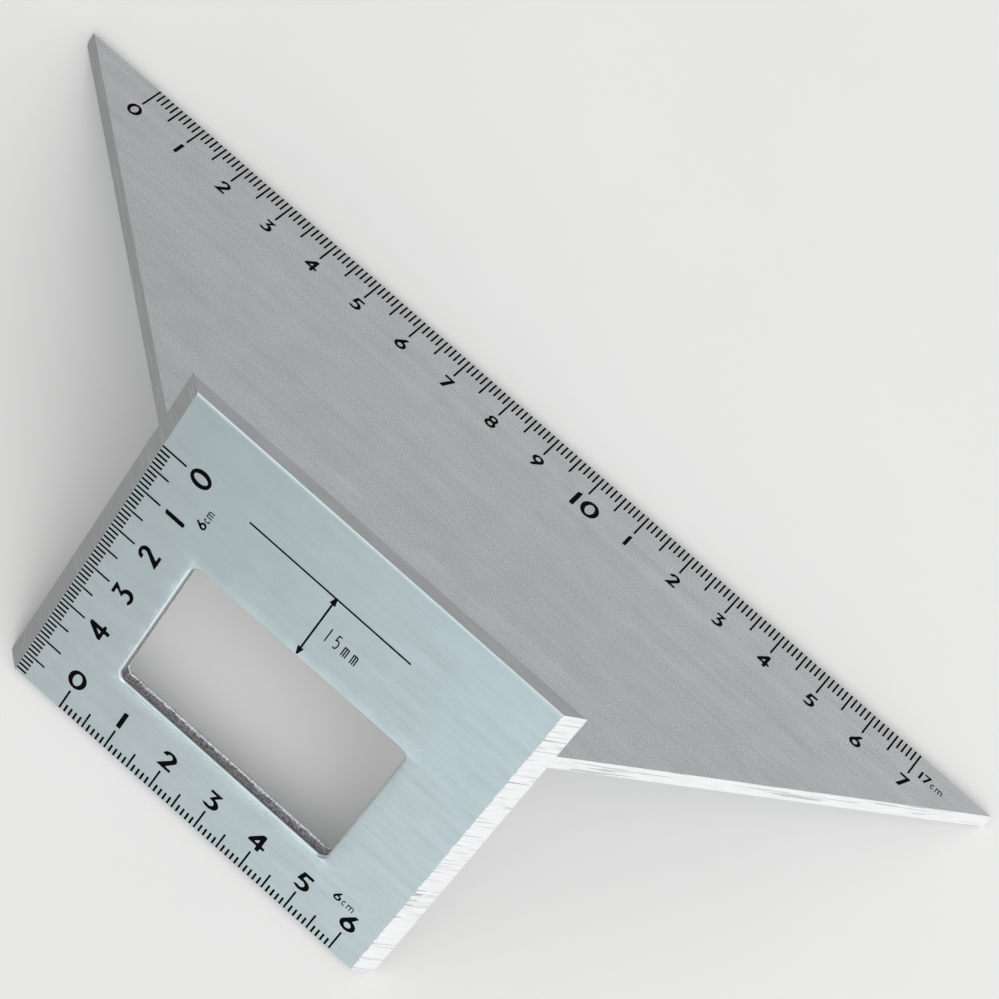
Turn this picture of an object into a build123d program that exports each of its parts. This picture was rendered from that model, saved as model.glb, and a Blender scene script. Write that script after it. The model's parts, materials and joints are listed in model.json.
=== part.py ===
"""Mitre square: an extruded aluminium T, mitred at both ends, with a punched fence and printed scales."""

import math
import os

from build123d import *

# Metal: the T profile and its two saw cuts, in millimetres
fence_front_length = 75.0  # fence along its printed face, between the two cuts
fence_leg = 60.0  # fence below the blade, the stop that hangs on the edge of the work
fence_lip = 10.0  # fence above the blade
fence_thickness = 3.0
blade_reach = 60.0  # blade from the fence's inner face to its long edge
blade_thickness = 3.0
profile_radius = 0.3  # outer corners of the profile, as extruded
mitre_angle = 45.0  # degrees between each cut and the long edge

# Window punched through the fence
gauge_depth = 15.0  # from the blade's under face to the window's upper edge, the pencil gauge
window_margin = 15.0  # metal left at each side of the window and below it
window_radius = 1.5
window_roll = 0.5  # rim rolled over where the punch went in, on the printed face

# Printed lines: a middle one at every fifth and a long one at every tenth of each scale
ink_thickness = 0.03
line_pitch = 1.0
middle_step = 5
long_step = 10

# Scale along the blade's long edge, centred on it
blade_line_width = 0.35
blade_short_line = 3.0
blade_middle_line = 5.0
blade_long_line = 6.0
blade_scale_margin = 15.0  # least bare length at each end

# Scales along the lower and left edges of the fence's printed face
fence_line_width = 0.3
fence_short_line = 2.0
fence_middle_line = 4.0
fence_long_line = 5.0
lower_scale_start = 9.8  # its zero, from the fence's left end
lower_scale_margin = 4.0  # least bare length after its last line

# Gauge mark: a line level with the stop, and an arrow from it to the window
gauge_line_start = 18.2  # from the fence's left end
gauge_line_length = 33.5
gauge_line_width = 0.28
arrow_start = 36.3  # from the fence's left end
arrow_shaft_width = 0.22
arrow_head_width = 1.1
arrow_head_length = 1.5
arrow_clearance = 0.1  # from the lower tip to the window's rolled rim

# Worked out from the sizes above
fence_height = fence_leg + blade_thickness + fence_lip
depth = fence_thickness + blade_reach
run_per_depth_share = 1 / math.tan(math.radians(mitre_angle))
long_edge = fence_front_length + 2 * depth * run_per_depth_share
fence_left = -fence_front_length / 2
window_width = fence_front_length - 2 * window_margin
window_height = fence_leg - gauge_depth - window_margin
rest_tilt = math.degrees(math.atan2(fence_leg, blade_reach))

# The square is drawn with its blade level: X along the extrusion, Y back from the printed face of the
# fence, and Z up from the under face of the blade. Sketches of the print lie on two of its faces.
printed_face = Plane.XZ
blade_face = Plane.XY.offset(blade_thickness)
root_face = Plane.XZ.offset(-fence_thickness)


def t_profile():
    """The section that is extruded, with its outer corners rounded and its two inner ones sharp."""
    fence = Pos(0, -fence_leg) * Rectangle(fence_thickness, fence_height, align=Align.MIN)
    blade = Pos(fence_thickness, 0) * Rectangle(blade_reach, blade_thickness, align=Align.MIN)
    outline = fence + blade
    roots = [Vector(fence_thickness, 0), Vector(fence_thickness, blade_thickness)]
    outer = [corner for corner in outline.vertices() if Vector(*corner) not in roots]
    return fillet(outer, profile_radius)


def mitred_extrusion():
    """The T, cut off at each end by one plane that mitres the blade and bevels the fence."""
    body = extrude(Plane.YZ * t_profile(), long_edge / 2, both=True)
    for side in (-1, 1):
        cut = Plane(
            origin=(side * fence_front_length / 2, 0, 0),
            z_dir=(side, -run_per_depth_share, 0),
        )
        body = split(body, bisect_by=cut, keep=Keep.BOTTOM)
    return body


def punched(body):
    """The T with its window punched through the fence, and the rim rolled over on the printed face."""
    window = Pos(0, -gauge_depth - window_height / 2) * RectangleRounded(
        window_width, window_height, window_radius
    )
    body = body - extrude(printed_face * window, -fence_thickness)
    front = body.faces().sort_by(Axis.Y)[0]
    return fillet(front.inner_wires()[0].edges(), window_roll)


def printed(face, rectangles):
    """A film of ink for each rectangle on a face, given as left, right, low and high."""
    films = []
    for left, right, low, high in rectangles:
        centre = Pos((left + right) / 2, (low + high) / 2)
        films.append(extrude(face * centre * Rectangle(right - left, high - low), ink_thickness).solid())
    return films


def line_length(index, short, middle, long):
    """How far a scale's line reaches in from its edge."""
    if index % long_step == 0:
        return long
    if index % middle_step == 0:
        return middle
    return short


def whole_tens(room):
    """The number of pitches in the most whole tens that fit in a length."""
    return long_step * math.floor(room / (long_step * line_pitch))


def blade_scale():
    """Lines along the blade's long edge, read from the left."""
    count = whole_tens(long_edge - 2 * blade_scale_margin)
    rectangles = []
    for index in range(count + 1):
        place = (index - count / 2) * line_pitch
        reach = line_length(index, blade_short_line, blade_middle_line, blade_long_line)
        rectangles.append(
            (place - blade_line_width / 2, place + blade_line_width / 2, depth - reach, depth - profile_radius)
        )
    return printed(blade_face, rectangles)


def fence_lower_scale():
    """Lines along the fence's lower edge, read from the left."""
    count = whole_tens(fence_front_length - lower_scale_start - lower_scale_margin)
    rectangles = []
    for index in range(count + 1):
        place = fence_left + lower_scale_start + index * line_pitch
        reach = line_length(index, fence_short_line, fence_middle_line, fence_long_line)
        rectangles.append(
            (
                place - fence_line_width / 2,
                place + fence_line_width / 2,
                profile_radius - fence_leg,
                reach - fence_leg,
            )
        )
    return printed(printed_face, rectangles)


def fence_side_scale():
    """Lines down the fence's left end, read from the stop towards the lower edge."""
    count = math.floor((fence_leg - profile_radius - fence_line_width / 2) / line_pitch)
    rectangles = []
    for index in range(count + 1):
        place = -index * line_pitch
        reach = line_length(index, fence_short_line, fence_middle_line, fence_long_line)
        rectangles.append(
            (fence_left, fence_left + reach, place - fence_line_width / 2, place + fence_line_width / 2)
        )
    return printed(printed_face, rectangles)


def gauge_mark():
    """The line level with the stop, and the two-headed arrow that measures from it to the window."""
    start = fence_left + gauge_line_start
    line = (start, start + gauge_line_length, -gauge_line_width / 2, gauge_line_width / 2)
    top = -gauge_line_width / 2
    low = window_roll + arrow_clearance - gauge_depth
    left_side = [
        (-arrow_head_width / 2, top - arrow_head_length),
        (-arrow_shaft_width / 2, top - arrow_head_length),
        (-arrow_shaft_width / 2, low + arrow_head_length),
        (-arrow_head_width / 2, low + arrow_head_length),
    ]
    right_side = [(-x, y) for x, y in reversed(left_side)]
    arrow = Pos(fence_left + arrow_start, 0) * Polygon(
        (0, top), *left_side, (0, low), *right_side, align=None
    )
    return printed(printed_face, [line]) + [extrude(printed_face * arrow, ink_thickness).solid()]


def resting(body):
    """Where the square rests: on the fence's lower edge and the blade's long edge, like a tent."""
    lean = Rot(X=-rest_tilt)
    box = (lean * body).bounding_box()
    return Pos(-box.center().X, -box.center().Y, -box.min.Z) * lean


body = punched(mitred_extrusion())
rest = resting(body)
nodes = {
    "fence": split(body, bisect_by=root_face, keep=Keep.TOP).solids(),
    "blade": split(body, bisect_by=root_face, keep=Keep.BOTTOM).solids(),
    "blade_scale": blade_scale(),
    "fence_lower_scale": fence_lower_scale(),
    "fence_side_scale": fence_side_scale(),
    "gauge_mark": gauge_mark(),
}
os.makedirs("parts", exist_ok=True)
for name, solids in nodes.items():
    export_step(rest * Compound(solids), f"parts/{name}.step")
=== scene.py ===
"""Looks of a mitre square: satin and sawn aluminium, a punched window, printed lines and numbers."""

import json
import math
import random

import bmesh
import bpy
import numpy as np
from bpy.props import FloatProperty, FloatVectorProperty, IntProperty, PointerProperty
from mathutils import Euler, Matrix, Vector
from mathutils.geometry import tessellate_polygon

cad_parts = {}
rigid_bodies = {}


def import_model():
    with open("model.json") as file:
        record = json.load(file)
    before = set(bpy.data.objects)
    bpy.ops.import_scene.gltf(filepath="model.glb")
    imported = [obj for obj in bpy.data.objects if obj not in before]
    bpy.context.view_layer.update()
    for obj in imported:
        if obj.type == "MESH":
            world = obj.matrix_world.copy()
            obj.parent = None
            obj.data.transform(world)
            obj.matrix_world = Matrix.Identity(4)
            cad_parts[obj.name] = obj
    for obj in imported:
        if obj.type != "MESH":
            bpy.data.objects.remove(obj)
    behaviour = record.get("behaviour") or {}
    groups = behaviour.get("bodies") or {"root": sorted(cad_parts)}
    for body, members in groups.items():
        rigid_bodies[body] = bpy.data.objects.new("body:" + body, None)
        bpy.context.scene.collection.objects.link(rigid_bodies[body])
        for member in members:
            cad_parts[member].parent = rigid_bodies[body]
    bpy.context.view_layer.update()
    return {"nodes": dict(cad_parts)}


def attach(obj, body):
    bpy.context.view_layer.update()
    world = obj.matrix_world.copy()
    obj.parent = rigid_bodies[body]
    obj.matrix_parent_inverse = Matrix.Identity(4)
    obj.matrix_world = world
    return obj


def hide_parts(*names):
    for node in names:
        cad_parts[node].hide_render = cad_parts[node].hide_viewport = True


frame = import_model()

bl_info = {
    "name": "Mitre Square",
    "version": (1, 0, 0),
    "blender": (4, 5, 0),
    "location": "3D View > Sidebar > Mitre Square",
    "description": "Dresses the metal, the print and the stage of a mitre square",
    "category": "Object",
}

MM = 0.001

# The square leans like a tent, so these are its own directions in the frame
LEAN = math.radians(45)
ALONG = Vector((1, 0, 0))
BACK = Vector((0, math.cos(LEAN), -math.sin(LEAN)))
UP = Vector((0, math.sin(LEAN), math.cos(LEAN)))


def reach(node, direction):
    """How far a node of the frame goes in a direction."""
    return max(direction.dot(vertex.co) for vertex in frame["nodes"][node].data.vertices)


# Planes of the metal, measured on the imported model
PRINTED_FACE = -reach("fence", -BACK)
STOP_LEVEL = -reach("blade", -UP)
FENCE_THICKNESS = reach("fence", BACK) - PRINTED_FACE
FENCE_LOW = -reach("fence", -UP) - STOP_LEVEL
FENCE_HIGH = reach("fence", UP) - STOP_LEVEL
BLADE_THICKNESS = reach("blade", UP) - STOP_LEVEL
DEPTH = reach("blade", BACK) - PRINTED_FACE
HALF_FRONT = reach("blade", ALONG) - DEPTH
WELD = 0.0001 * MM
ON_FACE = 0.002 * MM


def window_outline():
    """Points round the window where it comes out at the fence's back, as distance along and level."""
    back_face = PRINTED_FACE + FENCE_THICKNESS
    places = [vertex.co for vertex in frame["nodes"]["fence"].data.vertices]
    return [
        (place.x, UP.dot(place) - STOP_LEVEL)
        for place in places
        if abs(BACK.dot(place) - back_face) < ON_FACE and abs(place.x) < HALF_FRONT
    ]


WINDOW_HALF = max(along for along, _ in window_outline())
WINDOW_LOW = min(level for _, level in window_outline())
WINDOW_HIGH = max(level for _, level in window_outline())


def face_matrix(right, up, normal, place):
    """The matrix that lays a flat drawing on a face."""
    return Matrix.Translation(place) @ Matrix((right, up, normal)).transposed().to_4x4()


# Drawings on the fence start at the stop, and those on the blade at the plane of the printed face
FENCE_FACE = face_matrix(ALONG, UP, -BACK, BACK * PRINTED_FACE + UP * STOP_LEVEL)
BLADE_FACE = face_matrix(ALONG, BACK, UP, BACK * PRINTED_FACE + UP * (STOP_LEVEL + BLADE_THICKNESS))


class MitreSquareMetal(bpy.types.PropertyGroup):
    """Finish of the extruded, sawn and punched aluminium"""

    satin_colour: FloatVectorProperty(
        name="Satin colour", description="Colour of the extruded faces", subtype="COLOR",
        size=3, min=0, max=1, default=(0.610, 0.632, 0.638),
    )
    sawn_colour: FloatVectorProperty(
        name="Sawn colour", description="Colour of the two sawn ends", subtype="COLOR",
        size=3, min=0, max=1, default=(0.92, 0.925, 0.93),
    )
    punched_colour: FloatVectorProperty(
        name="Punched colour", description="Colour of the window's torn wall", subtype="COLOR",
        size=3, min=0, max=1, default=(0.42, 0.40, 0.41),
    )
    break_out: FloatProperty(
        name="Break-out", description="How far the window is torn up and down at the fence's back",
        default=0.4 * MM, min=0, unit="LENGTH", precision=5,
    )
    end_break_out: FloatProperty(
        name="End break-out", description="How far the window's two ends are torn at the fence's back",
        default=0.05 * MM, min=0, unit="LENGTH", precision=5,
    )
    saw_mark_spacing: FloatProperty(
        name="Saw mark spacing", description="Mean distance from one saw mark to the next",
        default=0.45 * MM, min=0.2 * MM, unit="LENGTH", precision=5,
    )
    saw_mark_step: FloatProperty(
        name="Saw mark step", description="Width of the sharp step at a saw mark",
        default=0.06 * MM, min=0.01 * MM, unit="LENGTH", precision=5,
    )
    left_mark_depth: FloatProperty(
        name="Left mark depth", description="How deep the left end's deepest saw mark is cut",
        default=0.012 * MM, min=0, unit="LENGTH", precision=5,
    )
    right_mark_depth: FloatProperty(
        name="Right mark depth", description="How deep the right end's deepest saw mark is cut",
        default=0.035 * MM, min=0, unit="LENGTH", precision=5,
    )
    left_raggedness: FloatProperty(
        name="Left raggedness", description="How far the left end's front edge is torn back at most",
        default=0.03 * MM, min=0, unit="LENGTH", precision=5,
    )
    right_raggedness: FloatProperty(
        name="Right raggedness", description="How far the right end's front edge is torn back at most",
        default=0.24 * MM, min=0, unit="LENGTH", precision=5,
    )
    saw_seed: IntProperty(name="Saw seed", description="Start of the saw marks' random draws", default=7)


class MitreSquarePrint(bpy.types.PropertyGroup):
    """Sizes and colour of the printed lines and numbers"""

    ink_colour: FloatVectorProperty(
        name="Ink colour", description="Colour of the printed lines and numbers", subtype="COLOR",
        size=3, min=0, max=1, default=(0.0025, 0.002, 0.0025),
    )
    ink_thickness: FloatProperty(
        name="Ink thickness", description="Thickness of the film of ink",
        default=0.03 * MM, min=0.005 * MM, unit="LENGTH", precision=5,
    )
    blade_digit: FloatProperty(
        name="Blade digit", description="Height of the digits on the blade",
        default=2.95 * MM, min=0.5 * MM, unit="LENGTH", precision=5,
    )
    blade_ten: FloatProperty(
        name="Blade ten", description="Height of the larger ten on the blade",
        default=3.95 * MM, min=0.5 * MM, unit="LENGTH", precision=5,
    )
    blade_row: FloatProperty(
        name="Blade row", description="From the long edge to the tops of the digits",
        default=7.0 * MM, min=0, unit="LENGTH", precision=5,
    )
    fence_digit: FloatProperty(
        name="Fence digit", description="Height of the digits on the fence",
        default=4.0 * MM, min=0.5 * MM, unit="LENGTH", precision=5,
    )
    fence_lower_row: FloatProperty(
        name="Fence lower row", description="From the fence's lower edge to the middle of its digits",
        default=8.0 * MM, min=0, unit="LENGTH", precision=5,
    )
    fence_side_row: FloatProperty(
        name="Fence side row", description="From the fence's left end to the middle of its digits",
        default=8.0 * MM, min=0, unit="LENGTH", precision=5,
    )
    total_digit: FloatProperty(
        name="Total digit", description="Height of the small digits that give a scale's whole length",
        default=1.95 * MM, min=0.3 * MM, unit="LENGTH", precision=5,
    )
    total_letter: FloatProperty(
        name="Total letter", description="Height of the small letters that give a scale's unit",
        default=1.12 * MM, min=0.3 * MM, unit="LENGTH", precision=5,
    )
    gauge_digit: FloatProperty(
        name="Gauge digit", description="Height of the thin digits beside the gauge's arrow",
        default=3.1 * MM, min=0.3 * MM, unit="LENGTH", precision=5,
    )
    gauge_letter: FloatProperty(
        name="Gauge letter", description="Height of the thin letters beside the gauge's arrow",
        default=2.1 * MM, min=0.3 * MM, unit="LENGTH", precision=5,
    )
    long_line_spread: FloatProperty(
        name="Long line spread",
        description="How far the ink of the fence's long lines spreads at each side",
        default=0.03 * MM, min=0, unit="LENGTH", precision=5,
    )
    short_line_spread: FloatProperty(
        name="Short line spread",
        description="How far the ink of the fence's short lines spreads at each side",
        default=0.05 * MM, min=0, unit="LENGTH", precision=5,
    )
    gauge_line: FloatProperty(
        name="Gauge line", description="Width of the gauge's line, with the spread of its ink",
        default=0.33 * MM, min=0.05 * MM, unit="LENGTH", precision=5,
    )
    arrow_shaft: FloatProperty(
        name="Arrow shaft", description="Width of the arrow's shaft, with the spread of its ink",
        default=0.345 * MM, min=0.05 * MM, unit="LENGTH", precision=5,
    )
    arrow_head: FloatProperty(
        name="Arrow head", description="Width of the arrow's heads at their backs",
        default=1.18 * MM, min=0.1 * MM, unit="LENGTH", precision=5,
    )
    arrow_taper: FloatProperty(
        name="Arrow taper", description="How much a head narrows over its length, as a share of that length",
        default=0.52, min=0,
    )
    upper_head: FloatProperty(
        name="Upper head", description="From the gauge's line to the back of the arrow's upper head",
        default=1.3 * MM, min=0.1 * MM, unit="LENGTH", precision=5,
    )
    lower_head: FloatProperty(
        name="Lower head", description="From the arrow's lower end to the back of its lower head",
        default=1.65 * MM, min=0.1 * MM, unit="LENGTH", precision=5,
    )


class MitreSquareStage(bpy.types.PropertyGroup):
    """Floor, light and camera"""

    floor_colour: FloatVectorProperty(
        name="Floor colour", description="Colour of the plain pale floor", subtype="COLOR",
        size=3, min=0, max=1, default=(0.83, 0.83, 0.82),
    )
    floor_size: FloatProperty(
        name="Floor size", description="Length of each side of the floor",
        default=12.0, min=1, unit="LENGTH",
    )
    key_power: FloatProperty(
        name="Key power", description="Power of the soft light at the right",
        default=63.75, min=0, unit="POWER",
    )
    key_place: FloatVectorProperty(
        name="Key place", description="Where the soft light stands", subtype="TRANSLATION",
        size=3, unit="LENGTH", default=(1.625, -0.375, 2.0),
    )
    key_size: FloatProperty(
        name="Key size", description="Length of each side of the soft light",
        default=3.5, min=0.1, unit="LENGTH",
    )
    room_light: FloatProperty(
        name="Room light", description="Strength of the room's light on what scatters it",
        default=0.52, min=0,
    )
    camera_aim: FloatVectorProperty(
        name="Camera aim", description="Point in the middle of the picture", subtype="TRANSLATION",
        size=3, unit="LENGTH", default=(7.41 * MM, 26.32 * MM, 44.0 * MM),
    )
    camera_distance: FloatProperty(
        name="Camera distance", description="From the camera to the point in the middle of the picture",
        default=563.65 * MM, unit="LENGTH",
    )
    camera_turn: FloatVectorProperty(
        name="Camera turn", description="Turn of the camera from looking straight down", subtype="EULER",
        size=3, unit="ROTATION",
        default=(math.radians(6.868), math.radians(-0.157), math.radians(41.43)),
    )
    camera_lens: FloatProperty(
        name="Camera lens", description="Focal length on a square frame 36 mm wide",
        default=130.37, unit="CAMERA",
    )


# Materials


def feed(tree, node, values):
    """Links a node's inputs to other nodes, or sets them to numbers."""
    for name, value in values.items():
        if isinstance(value, bpy.types.NodeSocket):
            tree.links.new(value, node.inputs[name])
        else:
            node.inputs[name].default_value = value


def fed_node(tree, kind, values, operation=None):
    """A new node with its operation chosen, if it has one, and its inputs linked or set."""
    node = tree.nodes.new(kind)
    if operation:
        node.operation = operation
    feed(tree, node, values)
    return node


def new_material(name):
    """A node material: its tree, its shader, and Object coordinates in millimetres along the square."""
    material = bpy.data.materials.new(name)
    material.use_nodes = True
    tree = material.node_tree
    place = tree.nodes.new("ShaderNodeTexCoord")
    own = fed_node(tree, "ShaderNodeMapping", {
        "Vector": place.outputs["Object"],
        "Location": (0, -PRINTED_FACE / MM, -STOP_LEVEL / MM),
        "Rotation": (LEAN, 0, 0),
        "Scale": (1 / MM, 1 / MM, 1 / MM),
    })
    return material, tree, tree.nodes["Principled BSDF"], own.outputs["Vector"]


def stretched(tree, place, scale):
    """Coordinates scaled differently along, back and up."""
    return fed_node(tree, "ShaderNodeVectorMath", {0: place, 1: scale}, "MULTIPLY").outputs[0]


def noise(tree, place, scale, detail=2.0, roughness=0.5):
    """A noise pattern, with its scale in cells per millimetre."""
    values = {"Vector": place, "Scale": scale, "Detail": detail, "Roughness": roughness}
    return fed_node(tree, "ShaderNodeTexNoise", values).outputs["Fac"]


def spread(tree, value, from_range, to_range):
    """A value carried from one range to another, and held there."""
    sockets = ("Value", "From Min", "From Max", "To Min", "To Max")
    values = dict(zip(sockets, (value, *from_range, *to_range), strict=True))
    return fed_node(tree, "ShaderNodeMapRange", values).outputs["Result"]


def math_node(tree, operation, first, second):
    """Two values, or a value and a number, put through an operation."""
    return fed_node(tree, "ShaderNodeMath", {0: first, 1: second}, operation).outputs[0]


def ramp(tree, value, stops):
    """A colour ramp over a value, from pairs of place and colour."""
    node = fed_node(tree, "ShaderNodeValToRGB", {"Fac": value})
    elements = node.color_ramp.elements
    while len(elements) < len(stops):
        elements.new(1.0)
    for element, (position, colour) in zip(elements, stops, strict=True):
        element.position = position
        element.color = (*colour, 1)
    return node.outputs["Color"]


def bump(tree, height, distance):
    """A bumped normal, its height in metres."""
    return fed_node(tree, "ShaderNodeBump", {"Height": height, "Distance": distance}).outputs["Normal"]


def shaded(tree, colour, share):
    """A colour made darker or lighter by a value."""
    values = {"Vector": colour, "Scale": share}
    return fed_node(tree, "ShaderNodeVectorMath", values, "SCALE").outputs["Vector"]


def tone(colour, share):
    """A colour made darker or lighter by a share."""
    return tuple(min(1.0, part * share) for part in colour)


def total(tree, first, *others):
    """The sum of several values."""
    for value in others:
        first = math_node(tree, "ADD", first, value)
    return first


def along_back_up(tree, place):
    """The three parts of a place: along the square, back and up."""
    axes = fed_node(tree, "ShaderNodeSeparateXYZ", {"Vector": place})
    return axes.outputs["X"], axes.outputs["Y"], axes.outputs["Z"]


def product(tree, first, second):
    """Two values multiplied."""
    return math_node(tree, "MULTIPLY", first, second)


# How strongly each mark shows, as a share of the way from the darkest satin to the lightest
CLOUD_SHARE = 0.09
# Painted sheen round the window, with painted shade at its right
WINDOW_SHEEN_SHARE = 0.50
HAIRLINE_SHARE = 0.26
STREAK_SHARE = 0.08
LIP_SHARE = 0.30
# Painted highlight along the lip's front top edge, strong at the left end and faint at the right
EDGE_HIGHLIGHT_SHARE = 1.15
EDGE_HIGHLIGHT_SHARE_RIGHT = 0.1 * EDGE_HIGHLIGHT_SHARE
PALE_BAND_SHARES = (0.05, 0.10)

# Spans of a noise pattern: most of it, its core, and those over which single marks stand out
MOST = (0.25, 0.75)
CORE = (0.3, 0.7)
PALE_BAND_SPAN = (0.3, 0.6)
HAIRLINE_SPAN = (0.66, 0.72)
SAW_LINE_SPAN = (0.59, 0.65)
CRUMB_SPAN = (0.62, 0.72)
SPECKLE_SPAN = (0.38, 0.62)

# Painted sheen and shade round the window, standing in for the light on the metal pulled in there: strengths,
# and millimetres from its edge between which they fade
HALO_STRENGTH = 0.68
HALO_FADE = (0.3, 2.8)
HALO_ENDS = (0.25, -0.40)
HALO_CORNER = (-0.5, 0.3)
CLOUD_WOBBLE = (0.5, -0.5)
FINE_WOBBLE = (0.4, -0.4)
ROLL_START = 0.3
LEFT_ROLL_SHEEN = 0.7
LEFT_ROLL_FADE = (0.6, 1.2)
LEFT_ROLL_LOW = 0.3
LEFT_ROLL_RISE = 0.8
UNDER_ROLL_SHEEN = 0.50
UNDER_ROLL_FADE = (0.3, 1.0)

# Other marks, between two places in millimetres: along, under the fence's top or behind its printed face
RIGHT_WEAR = (-10, 30)
LEAST_WEAR = 0.15
# Where the painted highlight on the lip's front top edge lies: under the top, and behind the printed face
EDGE_HIGHLIGHT_UNDER = (0.65, 0.25)
EDGE_HIGHLIGHT_BACK = (0.35, 0.15)
LIP_UNDER = (0.06, 0.01)
PALE_BAND_RISE = (8, 18)
PALE_BAND_LEAST = 0.2
PALE_BAND_EDGE = (19.4, 18.9)


def window_halo(tree, place, cloud):
    """A share that fades away from the window: painted sheen over, under and left of it, and painted shade at
    its right.
    """
    along, _, up = along_back_up(tree, place)
    half_width = WINDOW_HALF / MM
    middle = (WINDOW_HIGH + WINDOW_LOW) / 2 / MM
    half_height = (WINDOW_HIGH - WINDOW_LOW) / 2 / MM
    rise = math_node(tree, "SUBTRACT", up, middle)
    past = [
        math_node(tree, "SUBTRACT", math_node(tree, "ABSOLUTE", value, 0), half)
        for value, half in ((along, half_width), (rise, half_height))
    ]
    squares = [math_node(tree, "POWER", math_node(tree, "MAXIMUM", part, 0), 2) for part in past]
    distance = math_node(tree, "SQRT", total(tree, *squares), 0)
    ragged = noise(tree, place, 1.2, detail=3)
    distance = total(
        tree, distance,
        spread(tree, cloud, CORE, CLOUD_WOBBLE), spread(tree, ragged, CORE, FINE_WOBBLE),
    )
    ends = product(
        tree,
        spread(tree, along, (-half_width, half_width), HALO_ENDS),
        spread(tree, past[1], HALO_CORNER, (1, 0)),
    )
    sides = total(tree, ends, spread(tree, past[1], HALO_CORNER, (0, 1)))
    # Painted highlight on the rolled rims left of the window and under it
    left = product(
        tree,
        spread(tree, along, (-half_width, -half_width - ROLL_START), (0, 1)),
        spread(tree, rise, (-LEFT_ROLL_RISE * half_height, 0), (LEFT_ROLL_LOW, 1)),
    )
    under = spread(tree, rise, (-half_height, -half_height - ROLL_START), (0, 1))
    parts = (
        (HALO_FADE, HALO_STRENGTH, sides),
        (LEFT_ROLL_FADE, LEFT_ROLL_SHEEN, left),
        (UNDER_ROLL_FADE, UNDER_ROLL_SHEEN, under),
    )
    return total(tree, *(
        product(tree, spread(tree, distance, fade, (strength, 0)), where) for fade, strength, where in parts
    ))


def fence_marks(tree, place, cloud):
    """Thin lines and streaks towards the right end, a painted highlight along the lip's front top edge,
    painted sheen and shade round the window, and a duller top.
    """
    along, back, up = along_back_up(tree, place)
    right = spread(tree, along, RIGHT_WEAR, (LEAST_WEAR, 1))
    hairlines = noise(tree, stretched(tree, place, (0.03, 1, 1)), 3.0, detail=1)
    streaks = noise(tree, stretched(tree, place, (0.05, 1, 1)), 0.8, detail=3)
    top = FENCE_HIGH / MM
    half_front = HALF_FRONT / MM
    # Painted highlight on the rounded front top edge of the lip: paler and smoother satin
    edge_highlight = product(
        tree,
        spread(tree, up, [top - down for down in EDGE_HIGHLIGHT_UNDER], (0, 1)),
        spread(tree, back, EDGE_HIGHLIGHT_BACK, (0, 1)),
    )
    # How strong the painted edge highlight is, from the left end to the right
    edge = spread(tree, along, (-half_front, half_front), (EDGE_HIGHLIGHT_SHARE, EDGE_HIGHLIGHT_SHARE_RIGHT))
    return [
        product(tree, edge_highlight, edge),
        product(tree, spread(tree, hairlines, HAIRLINE_SPAN, (0, -HAIRLINE_SHARE)), right),
        product(tree, spread(tree, streaks, CORE, (-STREAK_SHARE, STREAK_SHARE)), right),
        product(tree, window_halo(tree, place, cloud), WINDOW_SHEEN_SHARE),
        spread(tree, up, [top - down for down in LIP_UNDER], (0, -LIP_SHARE)),
    ]


def blade_marks(tree, place, cloud):
    """A paler band along the blade, beside the fence."""
    _, back, _ = along_back_up(tree, place)
    band = product(
        tree,
        spread(tree, back, PALE_BAND_EDGE, (0, 1)),
        spread(tree, back, PALE_BAND_RISE, (PALE_BAND_LEAST, 1)),
    )
    return [product(tree, band, spread(tree, cloud, PALE_BAND_SPAN, PALE_BAND_SHARES))]


# Finishes: tones of a colour from its darkest to its lightest, roughness likewise, and depth of the relief
SATIN_TONES = (0.75, 1.55)
SATIN_ROUGHNESS = (0.44, 0.32)
SATIN_RELIEF = 0.004 * MM
LIGHTEST_PATTERN = 1.6
SAWN_TONES = (0.62, 1.38)
SAWN_ROUGHNESS = (0.74, 0.60)
SAWN_RELIEF = 0.02 * MM
SAWN_METALLIC = 0.3
SCRATCH_TONES = (0.50, 0.80)
# The punched wall's tones: painted shade towards the printed face, and a painted highlight at the torn back
# edge
PUNCHED_SHADE_AND_HIGHLIGHT_TONES = ((0.16, 0.55), (0.30, 1.0), (0.78, 1.15), (0.88, 2.20))
PUNCHED_ROUGHNESS = (0.45, 0.65)
PUNCHED_RELIEF = 0.10 * MM
SPECKLE_TONES = (0.40, 1.80)
RAGGED_DEPTH = (-0.3, 0.3)
TORN_SHARE = (0.78, 0.90)
TORN_METALLIC = 0.2
INK_ROUGHNESS = (0.75, 0.65)
THIN_INK_TONE = 3.0
INK_GLOSS = 0.02
FLOOR_TONES = (0.99, 1.01)
FLOOR_ROUGHNESS = 0.8
FLOOR_GLOSS = 0.2


def tones(colour, shares):
    """Stops of a ramp from a colour's darkest tone to its lightest."""
    return [(place, tone(colour, share)) for place, share in zip((0, 1), shares, strict=True)]


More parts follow.
